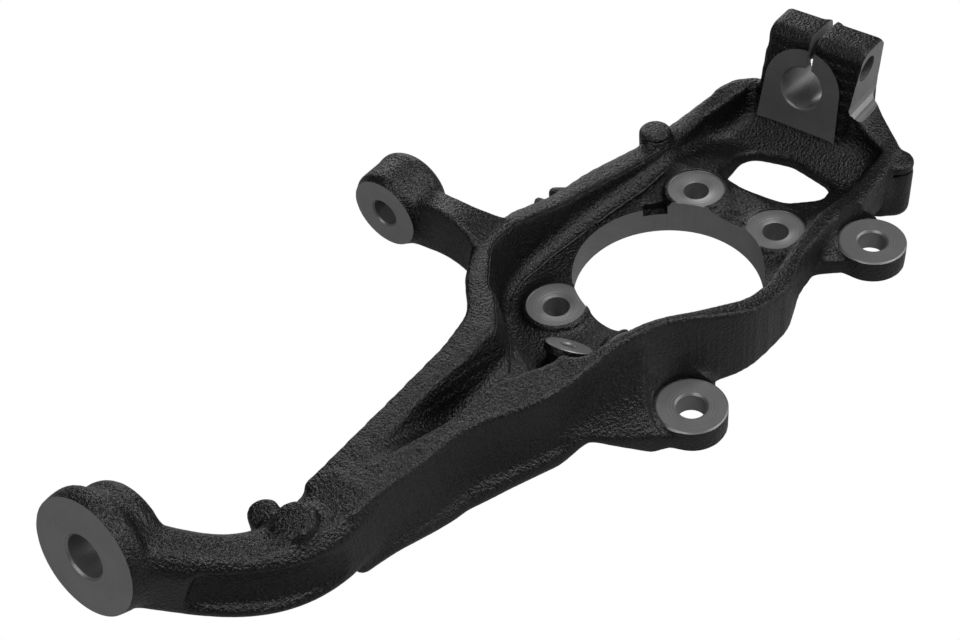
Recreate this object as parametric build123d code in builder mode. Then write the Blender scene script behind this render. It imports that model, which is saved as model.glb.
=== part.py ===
from build123d import *
import os
from math import cos, radians, sin

# Steering knuckle, one iron casting with machined seats.
# Millimetres. The origin is the centre of the hub bore on the outboard hub face, +Z is the hub axis
# and points inboard, +X points to the lower ball joint clamp and -X up the neck.

# Long enough to pass right through any part of the casting
reach = 200.0

# Hub bore, hub floor and the four bearing bolts
hub_bore_radius = 44.5
floor_height = 16.0
seat_height = 19.0
bolt_circle_radius = 56.0
bolt_half_angle = 24.9
bolt_pattern_turn = -5.5
bolt_hole_radius = 6.2
bolt_seat_radius = 13.7
bolt_boss_radius = 15.2
seat_cut_height = 7.0
bridge_height = 17.5
bridge_inner_radius = 50.0
bridge_outer_radius = 67.0
bridge_centre = (56.0, -5.0)
bridge_length = 40.0
bridge_width = 46.0
notch_width = 12.0
notch_depth = 4.5
notch_angle = 41.5
notch_floor = 9.0
notch_corner = 2.0

# Crest of the walls and the underside of the neck, seen from the side as X and Z
crest_points = [(-300, 79), (-215, 68), (-160, 62), (-80, 54.8), (-50, 49), (0, 32), (60, 23.6), (90, 20),
                (180, 19.5)]
crest_radii = [60, 60, 60, 70, 60, 80, 60]
under_points = [(-240, 35.5), (-150, 27.5), (-112, 23), (-86, 2), (-76, -6)]
under_radii = [60, 20, 20]
stock_height = 90.0

# Outer side of the casting seen from above, each corner with its radius
neck_end_x = -214.0
near_side_points = [(neck_end_x, -5, 0), (-150, -5.5, 60), (-118, -20, 60), (-79, -27.5, 60), (-53, -36, 40),
                    (-20, -56.5, 40), (10, -59, 30), (33, -51, 30), (64, -49, 25), (88, -53, 25),
                    (112, -52, 12)]
far_side_points = [(137, 37, 8), (123, 52.5, 12), (90, 56.5, 60), (60, 59, 60), (28, 65, 60), (-28, 69, 40),
                   (-62, 63, 25), (-84, 49, 20), (-100, 34, 25), (-122, 29, 60), (-163, 25.5, 60),
                   (neck_end_x, 21, 0)]
clamp_end_points = [(132, -48, 4), (150, -24, 6), (158, -21, 1), (158, 31, 1)]
outer_points = near_side_points + clamp_end_points + far_side_points

# Recess inside the walls seen from above at its lowest floor, and its floor seen from the side
recess_points = [(-95, 3, 12), (-88, -16, 8), (-56, -26.8, 30), (-36, -36.8, 30), (-13, -46.2, 20),
                 (6, -47.2, 20), (29, -43.6, 20), (47, -41, 20), (66, -39, 20), (92, -42, 20), (128, -41, 6),
                 (132, 31, 6), (102, 45, 14), (68, 45, 20), (46, 47.5, 30), (8, 54.5, 40), (-34, 57, 30),
                 (-57, 52, 20), (-79, 35.5, 12)]
recess_floor_points = [(-120, floor_height), (68, floor_height), (74, 13), (107, 3.5), (112, 4), (136, 15)]
recess_draft = 3.0
recess_height = 70.0

# Valley between the ribs of the neck, seen from above at its mouth and its floor
valley_mouth_height = 68.0
valley_mouth = [(-199, 9.5), (-160, -0.5), (-125, -2.5), (-97, -15), (-72, -10), (-72, 32), (-84, 35),
                (-98, 21.5), (-119, 18.5), (-160, 17)]
valley_floor_height = 38.0
valley_floor = [(-152, 9.3), (-140, 7), (-122, 5), (-98, -3), (-76, -4), (-76, 26), (-88, 24),
                (-101, 13.5), (-120, 12.5), (-140, 11.5)]

# Deck under the window
deck_bottom = -3.0
deck_points = [(66, -50), (88, -53), (112, -52), (132, -48), (150, -24), (158, -21), (158, 31), (137, 37),
               (123, 52.5), (90, 56.5), (66, 58.5)]
deck_height = 8.0
window_draft = 4.0
window_cut_height = 40.0
window_points = [(78, 21, 9), (71, 2, 20), (73, -17, 9), (90, -29, 12), (107, -26, 9), (113, 0, 20),
                 (107, 23, 10)]

# Caliper ears
ear_low_centre = (-58.0, -51.0)
ear_high_centre = (75.0, -65.0)
ear_radius = 15.5
ear_seat_radius = 19.5
ear_face_height = 10.0
ear_bottom = -1.5
ear_web_height = 8.0
caliper_hole_radius = 6.6
flare_line = ((-127.2, -13.0), (-57.3, -36.0))
flare_profile = [(-14, 46), (0, 40), (4, 28), (9, 19), (15, 12.5), (22, ear_web_height), (60, ear_web_height)]
ear_low_web = [(-116, -10, 1), (-112, -22, 4), (-94, -38, 20), (-73, -54, 12), (-58, -61, 4), (-43, -54, 4),
               (-32, -46, 4), (-30, -34, 1)]
ear_high_web = [(40, -44, 2), (50, -50, 6), (60, -62, 6), (75, -66, 4), (92, -60, 6), (97, -52, 4),
                (80, -40, 2)]

# Lower ball joint clamp, with its bore square to a front that leans back
clamp_centre = (130.1, 6.3, 35.2)
clamp_bore_radius = 11.0
clamp_tilt = 10.0
clamp_profile = [(125.2, 6), (134.2, 58), (138, 62.5), (153, 62), (157.5, 57), (160, 23), (158, -5),
                 (126, -5)]
clamp_sides = [(-20, -5), (-20.3, 26), (-23.6, 65), (29.2, 65), (31.5, 20), (31.5, -5)]
clamp_slot = 3.5
clamp_slot_y = 4.5
clamp_slot_height = 40.0
pad_rise = 1.0
pad_depth = 6.0
pad_half_width = 20.8
pad_foot_half_width = 22.4
pad_drop = 24.0
pinch_hole_radius = 6.5
pinch_hole_place = (142.0, 50.2)

# Stop column beside the clamp
column_centre = (127.0, -50.0)
column_profile = [(0, 7), (1, 8.2), (3.7, 8.2), (4.2, 7.2), (5.5, 7.2), (6, 8.2), (30.5, 8.2), (33, 6)]
column_top = 17.0
column_web = [(112, -40), (116, -50), (121, -54), (127, -57), (131, -44)]
column_web_bottom = -15.0
column_web_top = 12.0
shoulder_points = [(100, 40), (100, 54), (121, 49.5), (130, 44.5), (137, 36.5), (137, 28), (122, 28),
                   (114, 38)]
shoulder_profile = [(100, 0), (100, 19), (110, 21.5), (119, 25), (126, 26.5), (140, 26.5), (140, 0)]
gusset_outline = [(133, -18), (153, -18), (150, -26), (145, -33), (138, -43), (131, -50), (123, -48),
                  (128, -36)]
gusset_profile = [(-19, -3), (-19, 33), (-23, 28), (-30, 23.5), (-42, 19.5), (-50, 18.5), (-50, -3)]

# Round buttons, as centre, radius, bottom and top, and lugs behind the far wall, as outline and top
buttons = [((72, 55), 7.8, 0, 25), ((neck_end_x - 15, 9), 8.2, 50, 71), ((neck_end_x - 16, 26), 6.5, 48, 66)]
lugs = [([(-4, 60), (-3, 76), (2, 78), (5, 60)], 25.5), ([(7, 60), (8, 76), (12, 76), (22, 60)], 25)]
lug_bottom = 14.0

# Upper ball joint boss at the end of the gooseneck
upper_face_centre = Vector(neck_end_x - 75.6, 51.0, 85.0)
upper_axis = Vector(0.954, 0.067, -0.292).normalized()
upper_bore_radius = 8.8
upper_spot_radius = 13.0
upper_spot_depth = 30.0
upper_profile = [(0, 24), (2.5, 24.8), (8, 25), (12, 20), (17, 20.8), (20.5, 20), (23, 18)]
gooseneck_stations = [((neck_end_x + 14, 8, 51), 26.5, 33), ((neck_end_x - 8, 7.2, 51.3), 27, 33),
                      ((neck_end_x - 27, 10.8, 54.5), 23.5, 33), ((neck_end_x - 43, 19, 61.5), 21, 32),
                      ((neck_end_x - 56, 31, 70.5), 21, 32), ((neck_end_x - 67, 43, 79), 22, 33)]
channel_stations = [((neck_end_x - 10, -8.5, 51), 4, 9), ((neck_end_x - 26, -2.5, 54), 5.5, 9.5),
                    ((neck_end_x - 44, 8, 61), 5.5, 9.5), ((neck_end_x - 58, 20, 69.5), 4.5, 8.5)]
gooseneck_corner = 5.0

# Steering arm and tie rod boss, the arm as Y, its two sides in X, top at each side and bottom
tie_face_centre = Vector(-67.0, 111.5, 49.0)
tie_axis = Vector(1, 0, 0)
tie_bore_radius = 6.6
tie_profile = [(0, 17.3), (2, 18.2), (8, 18.8), (12.5, 16.8), (17.5, 19.6), (21, 20), (25, 17)]
arm_stations = [(58, -64, -16, 51, 36, 25), (67, -63, -37, 59, 47.5, 29.5), (76, -63, -45.5, 62, 56, 33),
                (90, -63, -48, 61, 59, 33), (104, -63, -48, 60, 60, 32)]

# Sensor seat on its post
sensor_centre = Vector(-71.5, 3.5, 28.0)
sensor_axis = Vector(0.6, 0.08, 0.79).normalized()
sensor_profile = [(0, 10.6), (4, 10.6), (5, 8.5), (20, 8.5)]
sensor_hole_radius = 3.3
sensor_hole_depth = 12.0


def bolt_centres():
    """Centres of the four bearing bolts, two at each end of the bore."""
    angles = [bolt_half_angle, -bolt_half_angle, 180 - bolt_half_angle, 180 + bolt_half_angle]
    turned = [radians(angle + bolt_pattern_turn) for angle in angles]
    return [(bolt_circle_radius * cos(angle), bolt_circle_radius * sin(angle)) for angle in turned]


def places(corners):
    """X and Y of the corners of an outline."""
    return [corner[:2] for corner in corners]


def radii(corners):
    """Radii of the corners of an outline."""
    return [corner[2] for corner in corners]


def side_cut(points, corner_radii, level):
    """Solid on one side of a line drawn in the side view, reaching to the level given."""
    with BuildPart() as block:
        with BuildSketch(Plane.XZ):
            with BuildLine():
                edge = FilletPolyline(*points, radius=corner_radii)
                Polyline(edge @ 1, (points[-1][0], level), (points[0][0], level), edge @ 0)
            make_face()
        extrude(amount=reach, both=True)
    return block.part


def turned_boss(profile, centre, axis):
    """Solid of revolution with the profile given as depth behind the face and radius."""
    side = axis.cross(Vector(0, 1, 0)).normalized()
    with BuildPart() as boss:
        with BuildSketch(Plane(origin=centre, x_dir=axis, z_dir=side)):
            Polygon(*profile, (profile[-1][0], 0), (profile[0][0], 0), align=None)
        revolve(axis=Axis(centre, axis))
    return boss.part


def cut_corners(wide, high):
    """Upright section of the gooseneck, with its corners cut off."""
    x, y, cut = wide / 2, high / 2, gooseneck_corner
    corners = [(x, y - cut), (x - cut, y)]
    corners += [(-a, b) for a, b in reversed(corners)]
    corners += [(-a, -b) for a, b in corners]
    Polygon(*corners, align=None)


def lofted(stations, section):
    """Loft through sections that stand across the line of their middles."""
    middles = [Vector(*station[0]) for station in stations]
    with BuildPart() as body:
        for i, (middle, wide, high) in enumerate(stations):
            run = middles[min(i + 1, len(middles) - 1)] - middles[max(i - 1, 0)]
            across = Vector(0, 0, 1).cross(run).normalized()
            with BuildSketch(Plane(origin=middle, x_dir=across, z_dir=run.normalized())):
                section(wide, high)
        loft()
    return body.part


above_crest = side_cut(crest_points, crest_radii, reach)
below_neck = side_cut(under_points, under_radii, -reach)

# Recess inside the walls, with draft
with BuildPart() as recess:
    with BuildSketch():
        with BuildLine():
            FilletPolyline(*places(recess_points), radius=radii(recess_points), close=True)
        make_face()
    extrude(amount=recess_height, taper=-recess_draft)
    with BuildSketch(Plane.XZ):
        Polygon(*recess_floor_points, (recess_floor_points[-1][0], reach), (recess_floor_points[0][0], reach),
                align=None)
    extrude(amount=reach, both=True, mode=Mode.INTERSECT)

# Valley between the ribs, which runs out in a point
with BuildPart() as valley:
    with BuildSketch(Plane.XY.offset(valley_floor_height)):
        Polygon(*valley_floor, align=None)
    with BuildSketch(Plane.XY.offset(valley_mouth_height)):
        Polygon(*valley_mouth, align=None)
    loft(ruled=True)

# Flare from the near wall down to the low ear
flare_start = Vector(*flare_line[0])
flare_run = Vector(*flare_line[1]) - flare_start
flare_end = Plane(origin=flare_start, x_dir=flare_run.cross(Vector(0, 0, 1)), z_dir=-flare_run)
with BuildPart() as flare:
    with BuildSketch():
        with BuildLine():
            FilletPolyline(*places(ear_low_web), radius=radii(ear_low_web), close=True)
        make_face()
    extrude(amount=stock_height)
    with BuildSketch(flare_end):
        Polygon(*flare_profile, (flare_profile[-1][0], 0), (flare_profile[0][0], 0), align=None)
    extrude(amount=-flare_run.length, mode=Mode.INTERSECT)
    with BuildSketch(Plane.XY.offset(ear_web_height)):
        with Locations(ear_low_centre):
            Circle(ear_seat_radius)
    extrude(amount=stock_height, mode=Mode.SUBTRACT)

# Steering arm, which spreads where it meets the wall
with BuildPart() as arm:
    for y, left, right, left_top, right_top, bottom in arm_stations:
        with BuildSketch(Plane(origin=(0, y, 0), x_dir=(1, 0, 0), z_dir=(0, -1, 0))):
            Polygon((left, bottom), (right, bottom), (right, right_top), (left, left_top), align=None)
    loft()

# Shoulder where the far wall rises to the clamp
with BuildPart() as shoulder:
    with BuildSketch():
        Polygon(*shoulder_points, align=None)
    extrude(amount=stock_height)
    with BuildSketch(Plane.XZ):
        Polygon(*shoulder_profile, align=None)
    extrude(amount=reach, both=True, mode=Mode.INTERSECT)

# Casting round the hub and along the neck
with BuildPart() as casting:
    with BuildSketch():
        with BuildLine():
            FilletPolyline(*places(outer_points), radius=radii(outer_points), close=True)
        make_face()
    extrude(amount=stock_height)
    with BuildSketch(Plane.XY.offset(deck_bottom)):
        Polygon(*deck_points, align=None)
    extrude(amount=deck_height)
    with BuildSketch(Plane.XY.offset(column_web_bottom)):
        Polygon(*column_web, align=None)
    extrude(amount=column_web_top - column_web_bottom)
    add(flare.part)
    add(above_crest, mode=Mode.SUBTRACT)
    add(shoulder.part)
    add(arm.part)
    add(recess.part, mode=Mode.SUBTRACT)
    add(valley.part, mode=Mode.SUBTRACT)
    add(below_neck, mode=Mode.SUBTRACT)

# Caliper ears on their webs
with BuildPart() as ears:
    for centre, web in ((ear_low_centre, ear_low_web), (ear_high_centre, ear_high_web)):
        with BuildSketch(Plane.XY.offset(ear_bottom)):
            with BuildLine():
                FilletPolyline(*places(web), radius=radii(web), close=True)
            make_face()
        extrude(amount=ear_web_height - ear_bottom)
        with BuildSketch(Plane.XY.offset(ear_bottom)):
            with Locations(centre):
                Circle(ear_radius)
        extrude(amount=ear_face_height - ear_bottom)
    add(below_neck, mode=Mode.SUBTRACT)

# Clamp for the lower ball joint, its pad standing proud of the front
front_normal = Vector(-cos(radians(clamp_tilt)), 0, sin(radians(clamp_tilt)))
clamp_front = Plane(origin=clamp_centre, x_dir=(0, -1, 0), z_dir=front_normal)
with BuildPart() as clamp:
    with BuildSketch(Plane.XZ):
        Polygon(*clamp_profile, align=None)
    extrude(amount=reach, both=True)
    with BuildSketch(Plane.YZ):
        Polygon(*clamp_sides, align=None)
    extrude(amount=reach, mode=Mode.INTERSECT)
    with BuildSketch(clamp_front.offset(-pad_depth)):
        Circle(pad_half_width)
        Polygon((-pad_half_width, 0), (pad_half_width, 0), (pad_foot_half_width, -pad_drop),
                (-pad_foot_half_width, -pad_drop), align=None)
    extrude(amount=pad_depth + pad_rise)

# Stop column beside the clamp, with a gusset to the block
column = turned_boss(column_profile, Vector(*column_centre, column_top), Vector(0, 0, -1))
with BuildPart() as gusset:
    with BuildSketch(Plane.YZ):
        Polygon(*gusset_profile, align=None)
    extrude(amount=reach)
    with BuildSketch(Plane.XY.offset(gusset_profile[0][1])):
        Polygon(*gusset_outline, align=None)
    extrude(amount=stock_height, mode=Mode.INTERSECT)

# Tie rod boss at the end of the arm
tie_boss = turned_boss(tie_profile, tie_face_centre, tie_axis)

# Gooseneck from the neck to the upper boss, with a hollow along its outer side
gooseneck = lofted(gooseneck_stations, cut_corners)
channel = lofted(channel_stations, Ellipse)
upper_boss = turned_boss(upper_profile, upper_face_centre, upper_axis)

# Sensor seat on its post
sensor_post = turned_boss(sensor_profile, sensor_centre, -sensor_axis)

# Bearing bolt bosses and the bridge between the two by the clamp
with BuildPart() as bosses:
    with BuildSketch():
        with Locations(*bolt_centres()):
            Circle(bolt_boss_radius)
    extrude(amount=seat_height)
    with BuildSketch():
        Circle(bridge_outer_radius)
        Circle(bridge_inner_radius, mode=Mode.SUBTRACT)
        with Locations(bridge_centre):
            Rectangle(bridge_length, bridge_width, rotation=bolt_pattern_turn, mode=Mode.INTERSECT)
    extrude(amount=bridge_height)

# The whole knuckle
with BuildPart() as knuckle:
    add(casting)
    add(bosses)
    add(ears)
    add(clamp)
    add(column)
    add(gusset)
    add(tie_boss)
    add(gooseneck)
    add(channel, mode=Mode.SUBTRACT)
    add(upper_boss)
    add(sensor_post)
    # Buttons and lugs left by the casting
    for middle, radius, low, high in buttons:
        with BuildSketch(Plane.XY.offset(low)):
            with Locations(middle):
                Circle(radius)
        extrude(amount=high - low)
    for outline, top in lugs:
        with BuildSketch(Plane.XY.offset(lug_bottom)):
            Polygon(*outline, align=None)
        extrude(amount=top - lug_bottom)
    # Machined seats, bores and the window
    with BuildSketch(Plane.XY.offset(seat_height)):
        with Locations(*bolt_centres()):
            Circle(bolt_seat_radius)
    extrude(amount=seat_cut_height, mode=Mode.SUBTRACT)
    with BuildSketch(Plane.XY.offset(deck_bottom)):
        with BuildLine():
            FilletPolyline(*places(window_points), radius=radii(window_points), close=True)
        make_face()
    extrude(amount=window_cut_height, taper=-window_draft, mode=Mode.SUBTRACT)
    with BuildSketch(Plane.XY.offset(notch_floor)):
        with Locations(Rotation(0, 0, notch_angle) * Location((hub_bore_radius, 0))):
            Rectangle(2 * notch_depth, notch_width)
        fillet(vertices(), radius=notch_corner)
    extrude(amount=stock_height, mode=Mode.SUBTRACT)
    with Locations((0, 0, 0)):
        Hole(hub_bore_radius)
    with Locations(*[(x, y, 0) for x, y in bolt_centres()]):
        Hole(bolt_hole_radius)
    with Locations((*ear_low_centre, 0), (*ear_high_centre, 0)):
        Hole(caliper_hole_radius)
    with Locations(clamp_front):
        Cylinder(clamp_bore_radius, reach, mode=Mode.SUBTRACT)
    with BuildSketch(Plane.YZ.offset(clamp_centre[0])):
        with Locations((clamp_slot_y, clamp_centre[2] + clamp_slot_height / 2)):
            Rectangle(clamp_slot, clamp_slot_height)
    extrude(amount=clamp_slot_height, both=True, mode=Mode.SUBTRACT)
    with Locations(Location((pinch_hole_place[0], 0, pinch_hole_place[1]), (90, 0, 0))):
        Cylinder(pinch_hole_radius, reach, mode=Mode.SUBTRACT)
    with Locations(Plane(origin=upper_face_centre, z_dir=upper_axis)):
        Cylinder(upper_bore_radius, reach, mode=Mode.SUBTRACT)
    with Locations(Plane(origin=tie_face_centre, z_dir=tie_axis)):
        Cylinder(tie_bore_radius, reach, mode=Mode.SUBTRACT)
    with Locations(Plane(origin=upper_face_centre + upper_axis * upper_profile[-1][0], z_dir=upper_axis)):
        Cylinder(upper_spot_radius, upper_spot_depth, align=(Align.CENTER, Align.CENTER, Align.MIN),
                 mode=Mode.SUBTRACT)
    with Locations(Plane(origin=sensor_centre, z_dir=-sensor_axis)):
        Cylinder(sensor_hole_radius, 2 * sensor_hole_depth, mode=Mode.SUBTRACT)

knuckle.part.label = "steering_knuckle"
os.makedirs("parts", exist_ok=True)
export_step(knuckle.part, "parts/steering_knuckle.step")
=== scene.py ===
import bmesh
import bpy
import numpy as np
from math import cos, pi, radians, sin
from mathutils import Matrix, Vector


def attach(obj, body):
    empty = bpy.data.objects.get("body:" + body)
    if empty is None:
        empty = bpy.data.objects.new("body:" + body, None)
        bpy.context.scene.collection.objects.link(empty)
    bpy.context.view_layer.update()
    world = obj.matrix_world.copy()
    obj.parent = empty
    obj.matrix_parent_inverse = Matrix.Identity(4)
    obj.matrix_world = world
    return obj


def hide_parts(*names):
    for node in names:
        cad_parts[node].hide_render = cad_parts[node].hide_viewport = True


# Looks of the steering knuckle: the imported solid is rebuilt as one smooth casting, and its machined
# faces and bores are cut again with crisp edges. Sizes are in millimetres until a mesh is made.
MM = 0.001
NODE = "steering_knuckle"
UP = Vector((0.0, 0.0, 1.0))

# Steps round a turned tool and round the hub's, and how near in metres two corners are one
ROUND_STEPS = 96
HUB_STEPS = 192
TOOL_MERGE = 1e-7
SOLID_MERGE = 1e-6

# Grid on which the casting is rounded, shifted so that no face lies on a cell's centre
CELL = 1.1
MARGIN = 8.0
GRID_SHIFT = np.array((0.0137, 0.0291, 0.0173))
EDGE_ROUND = 1.15
HOLLOW_ROUND = 4.2
TARGET_TRIANGLES = 170000

# Stock that machining takes away again, and how far the tools reach
BORE_STOCK = 1.0
FACE_STOCK = 3.0
SEAT_STOCK = 2.0
CUT_FRONT = 14.0
CUT_DEPTH = 40.0
CUT_TOP = 50.0
BORE_CHAMFER = 0.8

# Hub
HUB_RADIUS = 44.5
HUB_CHAMFER = 1.2
HUB_STOCK = 1.5
HUB_STOCK_SPAN = (1.0, 15.5)
FLANGE_RADIUS = 67.3
FLANGE_CUT = 12.0
SEAT_HEIGHT = 19.0
SEAT_RADIUS = 13.7
SEAT_RIM = 1.2
SEAT_RIM_WIDTH = 2.3
SEAT_RIM_FOOT = 10.0
SEAT_WALL = 0.2
SEAT_WALL_RISE = 0.3
SEAT_FINISH = 0.15
SEAT_CUT_TOP = 28.0
BOLT_RADIUS = 6.2
BOLT_SINK_WIDTH = 3.2
BOLT_SINK_DEPTH = 0.9
BOLT_CUT_FOOT = -1.0
BOLT_STOCK_SPAN = (0.5, 22.0)
BOLT_CIRCLE = 56.0
BOLT_HALF_ANGLE = 24.9
BOLT_TURN = -5.5
NOTCH_ANGLE = 41.5
NOTCH_WIDTH = 12.0
NOTCH_DEPTH = 4.5
NOTCH_FLOOR = 12.0
NOTCH_FILL = 8.0
NOTCH_FILL_FOOT = 4.0
NOTCH_INSET = 2.0
NOTCH_CORNER = 1.5
NOTCH_CUT = 20.0

# Thin rib along the foot of the far wall, seen from above, in two runs
FOOT_RIB_HEIGHT = 17.0
FOOT_RIB_RADIUS = 0.95
RIB_END = 0.35
RIB_GROWTH = 0.3
FOOT_RIBS = [
    [(-69.8, 39.5), (-55, 48.7), (-47.5, 51.2), (-41, 52.1), (-32, 51.1), (-23, 50.8), (-9.7, 49), (4, 47.2)],
    [(8, 46.6), (18, 45.3), (31.6, 43), (41.6, 41.1), (52.5, 40.7), (62, 40)],
]

# Rim along the near lower edge of the neck, each point with its radius, and two buttons, each with its
# place, radius, foot and top
NECK_RIM = [((-212, -1.5, 33), 4.0), ((-185, -3, 28), 5.0), ((-158, -5, 24), 5.5), ((-138, -11, 23), 6.0),
            ((-118, -19, 22), 6.0), ((-98, -24.5, 16), 5.5), ((-82, -28, 8), 4.5)]
NECK_BUTTON = ((-229.0, 9.0), 8.8, 60.0, 73.0)
WALL_BUTTON = ((72.0, 55.5), 8.2, 15.0, 27.5)

# How far the near wall lies lower than the far one, with the spans along X, across Y and up Z in which
# that sets in, and the span along X in which the neck's whole height joins in
SAG = 7.0
SAG_START = (-205.0, -165.0)
SAG_END = (-106.0, -60.0)
SAG_ACROSS = (12.0, -16.0)
SAG_ABOVE = (12.0, 38.0)
SAG_NECK = (-100.0, -120.0)

# Caliper ears
EARS = [(-58.0, -51.0), (75.0, -65.0)]
EAR_RADIUS = 15.5
EAR_TOP = 10.0
EAR_BOTTOM = -1.5
EAR_STOCK = 0.4
EAR_CHAMFER = 0.8
EAR_EDGE = (-0.3, 0.7)
EAR_FINISH = 0.8
EAR_POCKET = 1.1
EAR_CUT = 2.0
EAR_CUT_TOP = 26.0
CALIPER_RADIUS = 6.6
CALIPER_SINK = 0.9

# Clamp
CLAMP_CENTRE = Vector((130.1, 6.3, 35.2))
CLAMP_TILT = radians(10)
CLAMP_RADIUS = 11.0
PAD_RISE = 1.0
PAD_HALF = 20.8
PAD_FOOT_HALF = 22.4
PAD_DROP = 24.0
PAD_DEPTH = 5.0
PAD_CLEAR = 8.0
PAD_CLEAR_FOOT = 2.0
PAD_FACING = 0.9
CLAMP_STOCK_SPAN = (2.0, 24.0)
SLOT_X = 118.0
SLOT_Y = 4.5
SLOT_WIDTH = 3.5
SLOT_LENGTH = 60.0
SLOT_RISE = 40.0
SLOT_STOCK = ((134.5, 0.0, 40.0), (157.0, 9.0, 61.0))
PINCH_CENTRE = Vector((142.0, 0.0, 50.2))
PINCH_AXIS = Vector((0.0, 1.0, 0.0))
PINCH_RADIUS = 6.5
PINCH_STOCK_SPAN = (-20.0, 26.0)
PINCH_REACH = 60.0
BLOCK_FRONT_X = 120.0
BLOCK_LENGTH = 50.0
SIDE_CUT = [(-22.9, 65), (-19.9, 31), (-20.6, 28), (-22.5, 26.3), (-25, 25.6), (-40, 26), (-40, 70),
            (-22.9, 70)]

# Groove round the stop column
COLUMN_CENTRE = (127.0, -50.0)
COLUMN_GROOVE = [(6.9, 11.3), (9.2, 11.3), (9.2, 12.9), (6.9, 12.9), (6.9, 11.3)]

# Bosses
UPPER_CENTRE = Vector((-289.6, 51.0, 85.0))
UPPER_AXIS = Vector((0.954, 0.067, -0.292)).normalized()
UPPER_BORE = 8.8
UPPER_FACE = 24.0
UPPER_LENGTH = 23.0
UPPER_SPOT = 13.0
UPPER_STOCK_DEPTH = 25.0
UPPER_CUT = 30.0
TIE_CENTRE = Vector((-67.0, 111.5, 49.0))
TIE_AXIS = Vector((1.0, 0.0, 0.0))
TIE_BORE = 6.6
TIE_FACE = 17.3
TIE_BACK = 2.0
TIE_BACK_SPAN = (2.0, 21.0)
TIE_STOCK_DEPTH = 24.0
TIE_CUT = 24.0
SENSOR_CENTRE = Vector((-71.5, 3.5, 28.0))
SENSOR_AXIS = Vector((0.6, 0.08, 0.79)).normalized()
SENSOR_RADIUS = 10.6
SENSOR_THICK = 4.0
SENSOR_NECK = 8.5
SENSOR_BORE = 3.3
SENSOR_FACE = 1.0
SENSOR_DEPTH = 12.0
SENSOR_CUT = 14.0
SENSOR_STEM = 6.0
SENSOR_EDGE = 0.5
SENSOR_STEP = 0.8
SENSOR_FACING = 0.5

# Line that runs along the crest's inner edge on the far wall, in millimetres but for its depth in metres
CREST_X = (-110.0, 70.0)
CREST_Y = 15.0
CREST_Z = 20.0
CREST_LEVEL = 0.8
CREST_UPRIGHT = 0.2
CREST_INWARD = -0.1
CREASE_FAR = 9.0
CREASE_WIDTH = 0.55
CREASE_DEPTH = 0.0005
CREASE_WANDER_SCALE = 160.0
CREASE_WANDER = 1.6
CREASE_ROUGHNESS = 0.4

# Finishes, with scales per metre and depths in metres
CRISP_ANGLE = radians(32)
COAT_COLOUR = (0.004, 0.004, 0.0042, 1)
COAT_GLOSS = 0.5
COAT_ROUGHNESS = 0.28
GRAIN_SCALE = 760.0
GRAIN_ROUGHNESS = 0.6
GRAIN_DEPTH = 0.0008
BROAD_SCALE = 60.0
BROAD_ROUGHNESS = 0.16
MARK_SCALE = 800.0
MARK_DEPTH = 0.00025
MARK_STRETCH = 0.03
MARK_UPRIGHT = 0.25
MARK_PATCH_SCALE = 12.0
MARK_PATCH_LEVEL = 0.47
METAL_DARK = (0.19, 0.19, 0.19, 1)
METAL_LIGHT = (0.37, 0.37, 0.37, 1)
METAL_SHARE = 0.6
METAL_ROUGHNESS = 0.36
METAL_PATCH_SCALE = 90.0
METAL_PATCH_DETAIL = 3.0
RING_SCALE = 1500.0
RING_DEPTH = 0.00012
RING_STRENGTH = 0.6
RING_ROUGHNESS = 0.2

# Floor, in metres
WHITE = (1, 1, 1, 1)
FLOOR_COLOUR = (0.4, 0.4, 0.4, 1)
FLOOR_HALF = 4.0
FLOOR_HEIGHT = -0.0205

# Lamps, each with its turn from +X and its height in degrees and its watts, their size and distance in
# metres, and the light of the room
LAMPS = [("top_lamp", 310, 70, 7.0), ("back_lamp", 45, 12, 5.0), ("right_lamp", 300, 47, 5.2),
         ("left_lamp", 180, 47, 4.6), ("low_lamp", 315, 10, 3.2)]
LAMP_SIZE = 0.9
LAMP_DISTANCE = 1.4
LAMP_TARGET = Vector((-0.05, 0.0, 0.03))
ROOM_LIGHT = 0.06

# Camera, from the photograph's vanishing points and the round seats, with its near limit in metres
CAMERA_PLACE = Vector((-417.4, -281.3, 505.8))
CAMERA_TARGET = Vector((-75.64, 51.06, 20.0))
CAMERA_ROLL = radians(-7.69)
CAMERA_LENS = 56.25
CAMERA_SENSOR = 36.0
CAMERA_NEAR = 0.01


def bolt_centres():
    """Centres of the four bearing bolts."""
    half = BOLT_HALF_ANGLE
    angles = [radians(angle + BOLT_TURN) for angle in (half, -half, 180 - half, 180 + half)]
    return [(BOLT_CIRCLE * cos(angle), BOLT_CIRCLE * sin(angle)) for angle in angles]


def clamp_normal():
    """Outward normal of the clamp's front."""
    return Vector((-cos(CLAMP_TILT), 0.0, sin(CLAMP_TILT)))


def node_mesh(node):
    """Corners in millimetres and triangles of a CAD node."""
    mesh = node.data
    mesh.calc_loop_triangles()
    corners = np.zeros(len(mesh.vertices) * 3)
    mesh.vertices.foreach_get("co", corners)
    triangles = np.zeros(len(mesh.loop_triangles) * 3, int)
    mesh.loop_triangles.foreach_get("vertices", triangles)
    return corners.reshape(-1, 3) / MM, triangles.reshape(-1, 3)


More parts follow.
